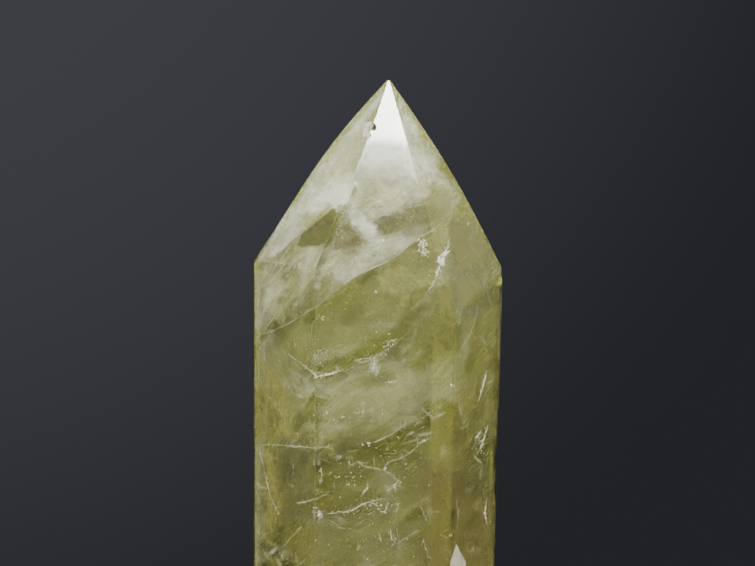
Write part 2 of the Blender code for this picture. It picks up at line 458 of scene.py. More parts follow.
# Clear windows, clouds and shaded hollows, as they show from the front, in millimetres. The dark sheets of
# the windows and hollows are painted shade, standing in for the dark depths seen through clear stone. For
# each: how much it thins the growth planes and cracks; the milk, paint and depth of a sheet of its own; how
# soft its border is; and its corners, anticlockwise.
patches = {
    "window": (0.15, 1.6, "dark", 1, 0.25, [(-16.4, 96.6), (-14.6, 96), (-13.2, 96.2), (-10.1, 97.2),
        (-8.8, 99.8), (-8, 102.8), (-8.9, 104.1), (-15.2, 98.8)]),
    "smallWindow": (0.3, 0.7, "brown", 1, 0.35, [(-8.7, 95.6), (-3.1, 96.3), (-3.7, 98.2), (-5, 99.6),
        (-6.9, 101.2), (-8, 99.7)]),
    "thirdWindow": (0.85, 0.75, "brown", 2.4, 0.45, [(-1.8, 101), (2.6, 99), (6.4, 97.4), (7.6, 98.4),
        (7.4, 104), (2.4, 103.2)]),
    "overWindow": (1, 0.75, "milk", 2.2, 0.8, [(-2.2, 101.4), (2.8, 103), (7.4, 104.4), (11, 106.8),
        (9, 110), (2, 107.5), (-3, 104.5)]),
    "tipNotch": (1, 1.2, "white", 1.2, 0.4, [(-3.2, 118.4), (-1.4, 118.4), (-0.9, 121.6), (-2.4, 121.6)]),
    "notch": (0.9, 0.5, "dark", 2, 0.4, [(9, 103.6), (11.6, 100.8), (11.8, 103.4), (10.4, 105)]),
    "overBand": (0.9, 0.4, "moss", 2, 1, [(7, 102.5), (13.5, 101.5), (15.5, 104.5), (13, 109), (8, 105)]),
    "leftMilk": (1, 0.35, "white", 1.6, 0.5, [(-22.6, 94), (-20.6, 94.4), (-17.2, 97.6), (-9.6, 104.6),
        (-13, 107), (-19, 100.6)]),
    "archCloud": (1, 0.95, "white", 1.6, 1.1, [(-7.5, 103.6), (-4.6, 100.6), (-3, 97.6), (-1.2, 95.4),
        (1.8, 97.2), (-0.8, 100.4), (-3.4, 104.6)]),
    "cloud": (1, 1.4, "white", 2, 1.3, [(-14.5, 103.6), (-9.2, 104.6), (-6, 105), (-5, 109), (-8.5, 111),
        (-13.5, 107.3)]),
    "leftFacetVeil": (1, 0.5, "milk", 1.6, 1.2, [(-13, 108.5), (-5.4, 109.5), (-1.8, 118.5),
        (-3.6, 121.5)]),
    "facetVeil": (1, 0.6, "milk", 2.2, 1.4, [(-6, 104), (1, 104.4), (8.6, 109.6), (5.6, 116), (-2, 117)]),
    "tipVeil": (1, 0.6, "white", 1.2, 1.2, [(7.5, 110), (14.5, 108), (4.2, 127), (3.6, 120)]),
    "leftRim": (1, 0.45, "white", 0.5, 0.5, [(-24.9, 93.2), (-23.2, 93.6), (-11, 109.5), (-11.8, 112)]),
    "leftRimTop": (1, 0.45, "white", 0.5, 0.5, [(-12.4, 111.4), (-10.8, 109.8), (1.5, 126.6), (0.8, 128)]),
    "brightBand": (1, 0.35, "white", 1.6, 0.8, [(-9.5, 87.8), (-1.6, 91.9), (4.5, 95.2), (9, 98.6),
        (3, 98.6), (-2, 96.2), (-9, 93)]),
    "band": (1.35, 0.2, "milk", 1.6, 1.4, [(-24.6, 79.5), (-12.3, 84.8), (-1.6, 91.6), (9, 98.4),
        (-3, 96.6), (-12, 95.5), (-22, 92), (-25, 88)]),
    "underBand": (0.75, 0.55, "olive", 1.5, 0.8, [(-13, 75.5), (5, 79), (15, 90), (14.6, 102),
        (8.6, 97.4), (-1.6, 90.6), (-10.7, 85)]),
    "rightShoulder": (0.9, 1.3, "moss", 1.5, 1.2, [(14.6, 84), (21.8, 84.5), (23.6, 92), (18.8, 103),
        (14.8, 101.5)]),
    "frontMid": (0.9, 0.85, "moss", 1.3, 1.2, [(3.5, 76), (15.4, 75), (15.8, 88.5), (7, 87)]),
    "rightTone": (0.9, 0.35, "gold", 1.5, 1.6, [(16.4, 60), (24, 58), (24.4, 84), (16.8, 82)]),
    "leftClear": (0.7, 0.5, "olive", 1.6, 0.8, [(-22.8, 70), (-12.9, 70.6), (-12.7, 80.6), (-21.5, 79)]),
    "leftEdge": (1.1, 0.35, "pale", 0.7, 0.7, [(-26, 12), (-23.2, 12), (-23, 58), (-26, 58)]),
    "leftEdgeTop": (1.2, 0.4, "pale", 0.7, 0.7, [(-26, 76), (-23.8, 76), (-23.2, 91), (-26, 92)]),
    "rightEdge": (1, 0.45, "olive", 0.5, 0.5, [(24.2, 74), (26.2, 74), (26.2, 93), (24.2, 92)]),
    "goldLeft": (1, 0.6, "gold", 1.2, 1.2, [(-22.4, 36), (-19.6, 40), (-19.2, 55.4), (-23.4, 55.6)]),
    "goldStrip": (1, 0.6, "gold", 0.6, 1.2, [(-24.6, 57), (-16, 58), (-19.4, 70), (-24.6, 76)]),
    "milkyBelt": (1.3, 0.35, "pale", 1.4, 2, [(0.5, 66), (8, 63.5), (15.5, 66), (15, 72), (3, 71.5)]),
    "lowMilk": (1.2, 0.35, "pale", 2, 2, [(-12, 57.5), (8, 61), (6, 68), (-10, 67)]),
    "underStep": (0.9, 0.6, "dim", 1.2, 0.6, [(-18.6, 40), (-12.9, 41), (-12.9, 55.2), (-21.8, 55.4)]),
    "stepGap": (1, 0.45, "olive", 1.4, 1.2, [(-11.5, 54.5), (-9, 53.5), (2.5, 58.5), (2, 61), (-8, 58.5)]),
    "webShade": (1, 0.35, "dim", 2.2, 2.2, [(-11, 43), (13, 42), (13, 55), (-9, 53.5)]),
    "footShade": (1, 0.5, "dim", 1.6, 2.4, [(-14, 26), (12, 28), (12, 40), (-12, 42)]),
    "footRight": (1, 0.65, "umber", 1.4, 1.6, [(16.5, 28), (24.5, 28), (24.5, 46), (17.5, 46)]),
    "darkHollow": (0.8, 0.4, "dark", 1.6, 0.6, [(1.4, 73.9), (4.6, 72.8), (4.8, 76.9), (2.5, 76.4)]),
    "darkNotch": (0.9, 0.3, "dark", 1.2, 0.6, [(4.6, 58.6), (8, 59), (8.6, 60.8), (6, 60.4)]),
    "starShade": (0.9, 0.4, "dark", 2.4, 0.6, [(-6.8, 43.6), (-2.6, 44.9), (-2.6, 46.8), (-6.5, 46.4)]),
    "web": (1, 0.2, "pale", 2, 1, [(-3, 47.6), (2.6, 46.8), (5, 47.6), (3.6, 50.4), (-0.6, 51.2)]),
    "edgeBand": (0.9, 0.6, "umber", 1.4, 1.8, [(8, 24), (13.6, 20), (14.8, 52), (10.6, 52)]),
    "edgePale": (1, 0.4, "moss", 1.4, 1.6, [(10, 54), (14.6, 53), (15, 60), (12, 62)]),
    "rightDark": (0.9, 0.45, "umber", 1.4, 1, [(14.8, 30), (18, 30), (18.8, 58), (15.4, 58)]),
    "rightHollow": (0.9, 0.4, "dark", 1.4, 0.7, [(15.6, 74.7), (17.2, 74.5), (17, 80.4), (15.8, 80)]),
    "footMilk": (1, 0.15, "pale", 1.8, 2.4, [(-4, 26), (8, 30), (8, 40), (-3, 40)]),
    # painted reflection: a pale grey sheet low on the right that stands in for a reflection
    "leafReflection": (1, 1.8, "ash", 0.6, 0.1, [(16, 35.9), (14.9, 32.9), (14.6, 28), (14.9, 24.5), (17.6, 24.5),
        (18.2, 29.5), (17.8, 32.6)]),
}
patchReach = (8.0, 20.0)  # they thin the rest less and less between these depths behind the middle
leafReflectionFade = {"heights": (25.0, 32.5), "power": 1.5}  # the painted reflection thins out downwards between these heights


def patchWithin(x, z, soft, corners, ragged=0.0):  # how far inside a patch a place is, from 0 to 1
    far = max(min(cx for cx, cz in corners) - x, x - max(cx for cx, cz in corners))
    if far > 2 * soft + 1:  # well outside, so the sides need no look
        return 0
    for start, end in zip(corners, [*corners[1:], corners[0]]):
        along = (end[0] - start[0], end[1] - start[1])
        away = (along[1] * (x - start[0]) - along[0] * (z - start[1])) / math.hypot(*along)
        far = max(far, away)
    return 1 - smoothStep(far + ragged, -soft, soft)


def patchAt(point):  # how the patches thin or thicken a sheet at a place
    fade = 1 - smoothStep(point.y / mm, *patchReach)
    if fade <= 0:
        return 1
    x, z = shownAt(point)
    share = 1
    for thins, *sheet, soft, corners in patches.values():
        if thins != 1:
            share *= 1 + (thins - 1) * fade * patchWithin(x, z, soft, corners)
    return share


# Warm stains, as they show from the front: centre, half sizes and strength.
stains = [
    (-23.6, 67, 2.6, 9, 0.8), (12.4, 46.6, 2.6, 3.6, 0.9), (-21.6, 52, 1.6, 4, 0.6), (-24, 41, 1.6, 7, 0.5),
    (12.5, 36, 2.4, 5, 0.6), (24, 60, 1.4, 22, 0.25),
]


def warmShare(point):
    x, z = point.x / mm, point.z / mm
    return max(strength * max(0, 1 - ((x - cx) / rx) ** 2 - ((z - cz) / rz) ** 2)
               for cx, cz, rx, rz, strength in stains)


veilPattern = {  # the same for the growth planes and the healed cracks
    "cloud": {"detail": 5.0, "roughness": 0.64},
    "cloudSpan": (0.34, 0.66),
    "grainSpan": (0.35, 0.65),
    "driftSpan": (0.45, 0.7),
    # painted light: the veils turn paler higher up, standing in for the light that falls from above
    "heights": (0.03, 0.105),  # metres between which the low colour turns into the high one
    "roughness": 0.7,
}


def veilMaterial(name, look):
    material, tree, shader = blankMaterial(name)
    place = addNode(tree, "ShaderNodeTexCoord").outputs["Object"]
    milk = addNode(tree, "ShaderNodeAttribute", attribute_name="milk").outputs["Fac"]
    cloud = noisePattern(tree, place, look["cloudScale"], **veilPattern["cloud"])
    shaped = spread(tree, cloud, veilPattern["cloudSpan"], look["cloudRange"], soft=True)
    streak = {"Vector": place, "Rotation": look["streakTurn"], "Scale": look["streakSize"]}
    streaks = addNode(tree, "ShaderNodeMapping", streak, vector_type="TEXTURE")
    grain = noisePattern(tree, streaks.outputs["Vector"], look["grainScale"], 1)
    fine = spread(tree, grain, veilPattern["grainSpan"], (1 - look["grain"], 1 + look["grain"]))
    clouded = addNode(tree, "ShaderNodeMath", {0: milk, 1: shaped}, operation="MULTIPLY").outputs["Value"]
    grained = addNode(tree, "ShaderNodeMath", {0: clouded, 1: fine}, operation="MULTIPLY", use_clamp=True)
    feed(tree, shader.inputs["Alpha"], grained.outputs["Value"])
    apart = addNode(tree, "ShaderNodeSeparateXYZ", {"Vector": place})
    height = spread(tree, apart.outputs["Z"], veilPattern["heights"], soft=True)
    drift = noisePattern(tree, place, look["driftScale"], 1)
    browned = spread(tree, drift, veilPattern["driftSpan"], (0, look["drift"]))
    warm = addNode(tree, "ShaderNodeAttribute", attribute_name="warm").outputs["Fac"]
    blend = mixColours(tree, browned, look["low"], look["brown"])
    blend = mixColours(tree, height, blend, look["high"])
    blend = mixColours(tree, warm, blend, look["warm"])
    # painted light: the healed cracks glow faintly in their own colour, standing in for light scattered in
    # the milk
    if look["painted"]:
        paint = addNode(tree, "ShaderNodeAttribute", attribute_name="paint")
        # the patches' own paint, which is painted shade where it is dark
        blend = mixColours(tree, paint.outputs["Alpha"], blend, paint.outputs["Color"])
        feed(tree, shader.inputs["Emission Color"], blend)
        shader.inputs["Emission Strength"].default_value = look["glow"]
        material.cycles.emission_sampling = "NONE"  # the glow is too faint to light anything
    feed(tree, shader.inputs["Base Color"], blend)
    shader.inputs["Roughness"].default_value = veilPattern["roughness"]
    shader.inputs["Specular IOR Level"].default_value = 0.0
    return material


haze = {  # growth planes that lean up to the right, faint and cloudy
    "sheets": 22,
    "from": 4.0,  # heights of the lowest and highest plane on the axis, in millimetres
    "to": 122.0,
    "rise": 34.0,  # how far they climb to the right, in degrees
    "dips": (-38, 22, -12, 41, 5, -27, 33),  # how far each leans to the back, taken in turn
    "cells": 70,
    "reach": 44.0,
    "ripple": (60, 190, 0.4),  # scales of the broad and the fine waves, and how high the fine ones are
    "wave": 2.2,
    "milk": 0.2,
    "margin": 0.25,
    "fade": 1.2,  # millimetres over which a plane fades out towards the faces
    "look": {
        "cloudScale": 150.0,
        "cloudRange": (0.3, 1.75),
        "grainScale": 1500.0,
        "grain": 0.24,
        "streakTurn": (0.3, -0.65, 0.2),  # along the growth planes
        "streakSize": (8.0, 1.0, 1.0),
        "low": (0.675, 0.67, 0.325, 1),
        "high": (0.86, 0.89, 0.66, 1),
        "driftScale": 85.0,
        "drift": 0.38,
        "brown": (0.58, 0.51, 0.27, 1),
        "painted": False,
        "warm": (0.62, 0.44, 0.10, 1),
    },
}


def hazePlanes():
    bm = bmesh.new()
    milk = bm.verts.layers.float.new("milk")
    warm = bm.verts.layers.float.new("warm")
    rise = Matrix.Rotation(-math.radians(haze["rise"]), 4, "Y")
    for number in range(haze["sheets"]):
        share = number / (haze["sheets"] - 1)
        height = haze["from"] + (haze["to"] - haze["from"]) * share
        dip = haze["dips"][number % len(haze["dips"])]
        lean = rise @ Matrix.Rotation(math.radians(dip), 4, "X")
        there = Matrix.Translation((0, 0, height * mm)) @ lean
        made = bmesh.ops.create_grid(bm, x_segments=haze["cells"], y_segments=haze["cells"],
                                     size=haze["reach"] * mm, matrix=there)
        normal = there.to_3x3() @ Vector((0, 0, 1))
        for vert in made["verts"]:
            vert.co += normal * ripple(vert.co, haze["ripple"], number) * haze["wave"] * mm
        for vert in trimSheet(bm, made["verts"], haze["margin"] * mm):
            vert[milk] = haze["milk"] * patchAt(vert.co) * min(1, depthInside(vert.co) / (haze["fade"] * mm))
            vert[warm] = warmShare(vert.co)
    setInStone(meshPiece("haze_planes", bm, veilMaterial("haze", haze["look"])))


hazePlanes()
print("haze done")


# Healed cracks. Each starts along a line that shows on the front and runs back into the stone. For each:
# how it runs back along x, y and z; its milk at the line and at its far end; how far it rolls; and the line's
# x and z.
cracks = {
    "step": 0.8,
    "depth": 0.3,  # millimetres that the line lies behind the face
    "margin": 0.2,
    "ripple": (120, 380, 0.5),
    "rollIn": 6,  # a veil rolls in full once this many times its way back is its whole length
    "ragged": 0.3,  # how uneven a veil is at its far end, and as a share of that along its sides
    "raggedSides": 0.3,
    "raggedScale": 150,
    "lip": 0.4,  # how much of its milk a veil has along its front line
    "lipFade": (0, 0.2),
    "sideFade": (-0.02, 0.12),
    "backFade": (0, 0.45),
    "look": {
        "cloudScale": 190.0,
        "cloudRange": (0.45, 1.3),
        "grainScale": 1700.0,
        "grain": 0.13,
        "streakTurn": (0.0, 0.9, 0.2),
        "streakSize": (4.0, 1.0, 1.0),
        "low": (0.74, 0.73, 0.52, 1),
        "high": (0.97, 0.98, 0.96, 1),
        "driftScale": 120.0,
        "drift": 0.25,
        "brown": (0.72, 0.66, 0.40, 1),
        "painted": True,
        # painted light: how strongly the healed cracks glow
        "glow": 0.3,
        "warm": (0.80, 0.60, 0.20, 1),
    },
    "veils": {
        "broad": ((-4, 34, 12), (0.95, 0.6), 0.7, [(-24.7, 77.9), (-19.2, 80), (-12.3, 84), (-6.2, 89.1),
            (-3.7, 90.6), (2.7, 93.6), (7.6, 97.4), (11.8, 100), (16.7, 105.1), (18.7, 106.5)]),
        "broadTwin": ((-2, 22, 2), (0.45, 0.4), 0.9, [(-24.4, 84.5), (-19.2, 86.4), (-12.3, 89.6),
            (-6.2, 93), (2.7, 97.2), (8, 100.8), (14, 105.6)]),
        "tipVeil": ((2, 24, 12), (0.95, 0.5), 0.6, [(-21.8, 93.6), (-20.3, 95.1), (-17.6, 97.4),
            (-13.5, 100.2), (-10.6, 103), (-8.7, 104.8), (-6.4, 106.6), (-3.6, 110)]),
        "arch": ((7, 20, 2), (0.55, 0.3), 0.5, [(-8.9, 104.7), (-7.6, 104.5), (-6.3, 102.8),
            (-4.7, 99.9), (-3.2, 97), (-2.2, 95.4)]),
        "upper": ((-3, 22, 10), (0.6, 0.35), 0.6, [(-2.4, 100.7), (-1.4, 101.2), (1.4, 102.9),
            (4.5, 104.5), (10.9, 108.9)]),
        "arc": ((2, 30, -9), (0.3, 0.25), 0.8, [(-21.4, 79.7), (-17.8, 74.3), (-12.3, 69.7),
            (-7.3, 70.8), (-4.4, 73.3), (0.1, 74.4), (4.5, 77.4), (7.6, 81.2), (11.2, 88), (14.4, 97.4)]),
        "belt": ((1, 24, 4), (0.3, 0.3), 0.9, [(-10.5, 62.8), (-4, 66), (1.5, 66.6), (8, 68.4),
            (15.2, 71.4)]),
        "diagonal": ((0, 26, 8), (0.45, 0.3), 0.6, [(-4.6, 55.2), (-1.2, 56.5), (3, 58.4), (6.5, 60.3),
            (13.7, 64.6), (17, 67.5)]),
        "leftStep": ((4, 24, 9), (0.5, 0.3), 0.4, [(-23.9, 56.1), (-16.7, 55.8), (-12.3, 55.4),
            (-9.5, 55.9), (-7.4, 56.6)]),
        "lowDiagonal": ((3, 20, -7), (0.4, 0.3), 0.6, [(1.4, 51.6), (2.6, 52.9), (5.2, 53.6),
            (8.6, 56.2), (11.2, 57.9)]),
        "web": ((-4, 13, -12), (0.5, 0.1), 1, [(-3.4, 52), (-1.9, 51.5), (0.3, 51.3), (2.2, 50.6),
            (3.7, 49.1), (5.6, 47.2)]),
        "star": ((0, 28, -8), (0.4, 0.25), 0.8, [(-12.5, 41.9), (-9.9, 42.1), (-6.6, 43), (-2.6, 44.2),
            (0.9, 45.1), (5, 45.9)]),
        "leftLong": ((9, 20, -5), (0.35, 0.15), 0.6, [(-24, 56), (-23.2, 52.5), (-22.1, 47.6),
            (-21.3, 44.8), (-19.6, 41.6)]),
        "rightSweep": ((-14, 16, 6), (0.4, 0.15), 0.9, [(23.6, 90), (22, 84), (19.9, 80.6), (18.2, 76.4),
            (16.6, 71)]),
        "rightFold": ((-12, 18, -6), (0.35, 0.2), 0.9, [(23, 68), (21.4, 61), (19.9, 54.6), (18.9, 48)]),
        "lowLeft": ((3, 26, 7), (0.35, 0.25), 0.9, [(-24.2, 38.6), (-20.6, 35), (-17.4, 32.6),
            (-12.6, 31.5)]),
        "lowRight": ((2, 22, 9), (0.35, 0.25), 0.9, [(-4, 29), (3.7, 34.6), (8, 38.4), (13.5, 43)]),
        "foot": ((-3, 33, 8), (0.4, 0.3), 1.2, [(-22, 12), (-12, 15.5), (-3, 17), (8, 22.5), (19, 25)]),
        "footArc": ((4, 24, 10), (0.3, 0.25), 1, [(-9, 4), (-6.5, 11), (0, 14.5), (7, 11.5), (9.5, 5)]),
    },
}


def crackSheet(bm, milk, warm, crack, seed):
    end, (near, far), roll, course = crack
    spots = [seenAt(x, z, cracks["depth"]) for x, z in course]
    line = smoothLine([spot for spot in spots if spot], cracks["step"] * mm)
    back = Vector(end) * mm
    rows = int(back.length / (cracks["step"] * mm) + 0.5)
    across = (line[-1] - line[0]).cross(back).normalized()
    front = [bm.verts.new(point) for point in line]
    edges = [bm.edges.new(pair) for pair in zip(front, front[1:])]
    sides = {vert: number / (len(front) - 1) for number, vert in enumerate(front)}
    sheet = {vert: 0.0 for vert in front}
    for row in range(rows):
        grown = bmesh.ops.extrude_edge_only(bm, edges=edges)["geom"]
        verts = [part for part in grown if isinstance(part, bmesh.types.BMVert)]
        edges = [part for part in grown if isinstance(part, bmesh.types.BMEdge)
                 and all(vert in verts for vert in part.verts)]
        for vert in verts:  # each new corner takes its place along the line from a neighbour that has one
            placed = [edge.other_vert(vert) for edge in vert.link_edges if edge.other_vert(vert) in sides]
            sides[vert] = sides[placed[0]]
        bmesh.ops.translate(bm, verts=verts, vec=back / rows)
        sheet.update({vert: (row + 1) / rows for vert in verts})
    for vert, share in sheet.items():
        wave = ripple(vert.co, cracks["ripple"], seed)
        vert.co += across * wave * roll * mm * min(1, share * cracks["rollIn"])
    for vert in trimSheet(bm, list(sheet), cracks["margin"] * mm):
        share = sheet[vert]
        ragged = cracks["ragged"] * noise.noise(vert.co * cracks["raggedScale"] + Vector((0, seed, 0)))
        side = sides[vert] + ragged * cracks["raggedSides"]
        soft = smoothStep(side, *cracks["sideFade"]) * smoothStep(1 - side, *cracks["sideFade"])
        soft *= smoothStep(1 - share + ragged, *cracks["backFade"])
        soft *= cracks["lip"] + (1 - cracks["lip"]) * smoothStep(share, *cracks["lipFade"])
        vert[milk] = (near + (far - near) * share) * soft * patchAt(vert.co)
        vert[warm] = warmShare(vert.co)


patchGrid = {
    "cell": (0.14, 0.45),  # least and most millimetres between the corners of a patch's own sheet
    "ripple": (0.7, 2.3, 0.6),
    "roll": 0.3,
    "ragged": 0.8,  # how uneven its border is, against how soft it is
}


def patchSheet(bm, milk, paint, patch):
    amount, colour, depth, soft, corners = patch[1:]
    low = [min(corner[axis] for corner in corners) - soft for axis in (0, 1)]
    high = [max(corner[axis] for corner in corners) + soft for axis in (0, 1)]
    cell = min(patchGrid["cell"][1], max(patchGrid["cell"][0], soft))
    cells = [max(3, int((top - bottom) / cell)) for bottom, top in zip(low, high)]
    grid = bmesh.ops.create_grid(bm, x_segments=cells[0], y_segments=cells[1], size=0.5)
    gone = []
    for vert in grid["verts"]:
        x = low[0] + (high[0] - low[0]) * (vert.co.x + 0.5)
        z = low[1] + (high[1] - low[1]) * (vert.co.y + 0.5)
        wobble = ripple(Vector((x, z, depth)), patchGrid["ripple"])
        spot = seenAt(x, z, depth + wobble * patchGrid["roll"])
        within = patchWithin(x, z, soft, corners, wobble * soft * patchGrid["ragged"])
        if spot is None or within <= 0 or depthInside(spot) < cracks["margin"] * mm:
            gone.append(vert)
            continue
        vert.co = spot
        vert[milk] = amount * within
        # the painted reflection fades out downwards
        if patch is patches["leafReflection"]:
            vert[milk] *= smoothStep(z, *leafReflectionFade["heights"]) ** leafReflectionFade["power"]
        vert[paint] = paints[colour]
    bmesh.ops.delete(bm, geom=gone, context="VERTS")


# Milky wisps, as they show from the front: x, z, depth, half length, half width, turn in degrees and milk.
wisps = [
    (-0.8, 72.2, 2.5, 1.9, 0.9, 80, 0.9), (0.2, 71.4, 3, 1.6, 0.5, 70, 0.5),
    (12.4, 62, 1.5, 1.7, 0.6, 26, 0.8), (13.3, 54.9, 2, 1.8, 0.7, 80, 0.5),
    (6.7, 58.5, 1.5, 1.3, 0.4, 25, 0.7), (-3.1, 64.4, 3, 1.3, 1, 20, 0.6), (-7.8, 53.7, 2, 1, 0.7, 15, 0.8),
    (-21.1, 34.6, 1.5, 2, 0.7, 20, 0.7), (-19.3, 33.5, 1.5, 1, 0.7, 120, 0.6),
    (-11.5, 48.9, 2, 1, 0.5, 75, 0.5), (-11.9, 52.6, 2, 0.8, 0.5, 90, 0.5),
    (17.7, 74, 2, 2.6, 1.2, 70, 0.55), (2.7, 68.8, 1.5, 1, 0.28, 2, 1), (-5.6, 61.6, 2, 1.1, 0.25, 4, 0.7),
    (-3, 66.4, 2, 0.8, 0.2, 5, 0.6), (-13.9, 94, 1.5, 1, 0.45, 10, 1),
    (-13.8, 91.3, 1.5, 0.8, 0.4, 25, 0.9), (-12, 88.2, 1.5, 0.9, 0.7, 70, 0.9),
    (-15.8, 92.6, 1.5, 0.6, 0.5, 40, 0.8), (-19, 96.2, 0.8, 2, 0.5, 43, 1),
    (-17.1, 101.3, 2, 1.4, 0.9, 50, 0.6), (-9.6, 106, 2, 2.6, 1.5, 35, 0.7),
    (-5, 102.4, 3, 3, 1.2, -58, 0.5), (-2.5, 96, 3, 2.4, 1.5, 20, 0.4), (-22.6, 91.2, 1, 0.9, 0.5, 60, 0.7),
    (-20.5, 92.6, 1.2, 0.7, 0.5, 10, 0.7), (-21.6, 88.6, 1, 1.2, 0.6, 100, 0.5),
    (-18.2, 88.6, 2, 1.4, 0.8, 35, 0.5), (-16.4, 84.8, 2, 1.6, 0.7, 20, 0.45),
    (8.2, 99.8, 2, 2.2, 0.8, 36, 0.45), (2, 109.4, 3, 2.6, 1.3, 30, 0.5),
    (-3.4, 108.2, 3, 2.8, 1.4, 60, 0.45), (6.6, 112.6, 2, 1.6, 0.5, 60, 0.35),
    (20, 82.9, 1.5, 1, 0.45, 75, 0.9), (19.5, 80.5, 1.5, 0.8, 0.3, 80, 0.7),
    (18.4, 78, 1.5, 0.9, 0.35, 55, 0.8), (17, 75.9, 1.5, 0.9, 0.35, 55, 0.6),
    (21.7, 87.6, 1.5, 2.4, 0.5, 85, 0.4), (17.5, 60.4, 2.5, 2.2, 0.8, 75, 0.35),
    (20.9, 50.4, 2, 2, 0.6, 80, 0.35), (11.6, 42.6, 1.5, 2.6, 0.25, -4, 0.5),
    (-14.5, 46.9, 1.5, 0.7, 0.35, 60, 0.6), (9.3, 57, 1.5, 0.7, 0.35, 30, 0.8),
    (5.2, 73.1, 2.5, 1, 0.5, 15, 0.5), (3.6, 72.7, 2.5, 0.6, 0.4, 160, 0.5),
    (-22.6, 62, 2, 4, 1.2, 88, 0.3), (-7.4, 41, 2.5, 2.2, 0.6, -25, 0.5), (2, 47.4, 3, 3, 1.2, 78, 0.3),
]
wispFill = {
    "thin": 0.6,  # how much of its milk each of the wisps above keeps
    "tilt": 0.6,
    "cells": 6,
    "ragged": 0.35,
    "raggedScale": 1.7,
    "solid": 0.25,  # how far out a wisp is at its full milk, as a share of its size
    "bulge": 0.12,
    "bulgeScale": 1.2,
    "count": 240,  # of the small ones, all through the stone
    "seed": 41,
    "length": (0.7, 4.2),
    "slender": (0.08, 0.4),
    "milk": (0.12, 0.45),
    "lean": (1.3, 0.3),  # the middle and the spread of how each is turned, in radians
    "spin": (0.5, 0.6),
}
roomInside = ((-25, 25), (-20, 20), (1, 128))  # millimetres between which random places are picked


def wispSheet(bm, milk, warm, there, size, amount, seed):
    grid = bmesh.ops.create_grid(bm, x_segments=wispFill["cells"], y_segments=wispFill["cells"], size=1)
    for vert in grid["verts"]:
        flat = vert.co.copy()
        ragged = wispFill["ragged"] * noise.noise(flat * wispFill["raggedScale"] + Vector((0, 0, seed * 3.1)))
        vert[milk] = amount * (1 - smoothStep(flat.length + ragged, wispFill["solid"], 1))
        bulge = wispFill["bulge"] * noise.noise(flat * wispFill["bulgeScale"] + Vector((seed, 0, 0)))
        vert.co = there @ Vector((flat.x * size[0], flat.y * size[1], bulge * size[1]))
        vert[warm] = warmShare(vert.co)


def insidePlace(draw, margin):  # a place picked at random, at least the margin inside the stone
    while True:
        point = Vector([draw.uniform(low, high) for low, high in roomInside]) * mm
        if depthInside(point) > margin:
            return point


def growWisps(bm, milk, warm):
    facing = Matrix.Rotation(math.radians(90), 4, "X")
    for seed, (x, z, depth, length, width, turn, amount) in enumerate(wisps):
        spot = seenAt(x, z, depth)
        if spot:
            tilt = Matrix.Rotation(wispFill["tilt"] * noise.noise(Vector((seed * 1.3, 0, 0))), 4, "X")
            there = Matrix.Translation(spot) @ facing @ Matrix.Rotation(math.radians(turn), 4, "Z") @ tilt
            wispSheet(bm, milk, warm, there, (length * mm, width * mm), amount * wispFill["thin"], seed)
    draw = random.Random(wispFill["seed"])
    for number in range(wispFill["count"]):
        length = draw.uniform(*wispFill["length"]) * mm
        there = Matrix.Translation(insidePlace(draw, length + cracks["margin"] * mm))
        heading = Matrix.Rotation(draw.uniform(0, math.tau), 4, "Z")
        there @= heading @ Matrix.Rotation(draw.gauss(*wispFill["lean"]), 4, "X")
        there @= Matrix.Rotation(draw.gauss(*wispFill["spin"]), 4, "Z")
        size = (length, length * draw.uniform(*wispFill["slender"]))
        wispSheet(bm, milk, warm, there, size, draw.uniform(*wispFill["milk"]), number)


def healedCracks():
    bm = bmesh.new()
    milk = bm.verts.layers.float.new("milk")
    warm = bm.verts.layers.float.new("warm")
    paint = bm.verts.layers.float_color.new("paint")
    for seed, crack in enumerate(cracks["veils"].values()):
        crackSheet(bm, milk, warm, crack, seed)
    for patch in patches.values():
        patchSheet(bm, milk, paint, patch)
    growWisps(bm, milk, warm)
    setInStone(meshPiece("healed_cracks", bm, veilMaterial("healedCrack", cracks["look"])))


healedCracks()
print("cracks done")


# painted glints: cracks and flakes turn white and glow where they are bright, standing in for the light they
# would mirror
glints = {  # colours of a crack or flake where it is dull and where it is bright
    "tint": ((0.30, 0.29, 0.12, 1), (1.0, 1.0, 0.95, 1)),
    "shine": ((0.0, 0.0, 0.0, 1), (1.0, 1.0, 0.93, 1)),
    # how strongly the painted glints glow
    "glow": 0.8,
    "roughness": 0.25,
}


def glintMaterial():
    material, tree, shader = blankMaterial("openCrack")
    glint = addNode(tree, "ShaderNodeAttribute", attribute_name="glint").outputs["Fac"]
    feed(tree, shader.inputs["Base Color"], mixColours(tree, glint, *glints["tint"]))
    feed(tree, shader.inputs["Emission Color"], mixColours(tree, glint, *glints["shine"]))
    shader.inputs["Emission Strength"].default_value = glints["glow"]
    material.cycles.emission_sampling = "NONE"
    shader.inputs["Roughness"].default_value = glints["roughness"]
    return material


slivers = {
    "step": 0.25,
    "slender": (0.26, 0.9),  # how much of its width a hairline and a broad crack keep
    "widths": (0.15, 0.5),  # half widths of a hairline and a broad crack, in millimetres
    "ragged": 1.4,
    "jog": 0.16,  # millimetres that a crack strays from its line
    "grain": {"sides": 2600, "jog": 1500, "glint": 1300},  # how fine each unevenness is
    "glint": (0.75, 1.3),  # how bright a crack is on the whole, and how much that varies along it
    "least": 0.1,  # share of its width and brightness that is left wherever it is uneven
    "seed": 5,
}
shards = {
    "each": 3,
    "share": 0.5,
    "size": (0.25, 0.85),
    "extraSize": 0.06,
    "spread": 0.9,
    "extraSpread": 0.05,
    "stretch": (0.2, 0.8),
    "glint": (0.15, 1.2),
}
twigs = {"share": 0.22, "length": (0.4, 1.6), "steps": 4, "half": 0.03, "turn": (0.8, 0.3), "glint": 0.5}
tipHalf = 0.01  # half width at the end of a twig or thread
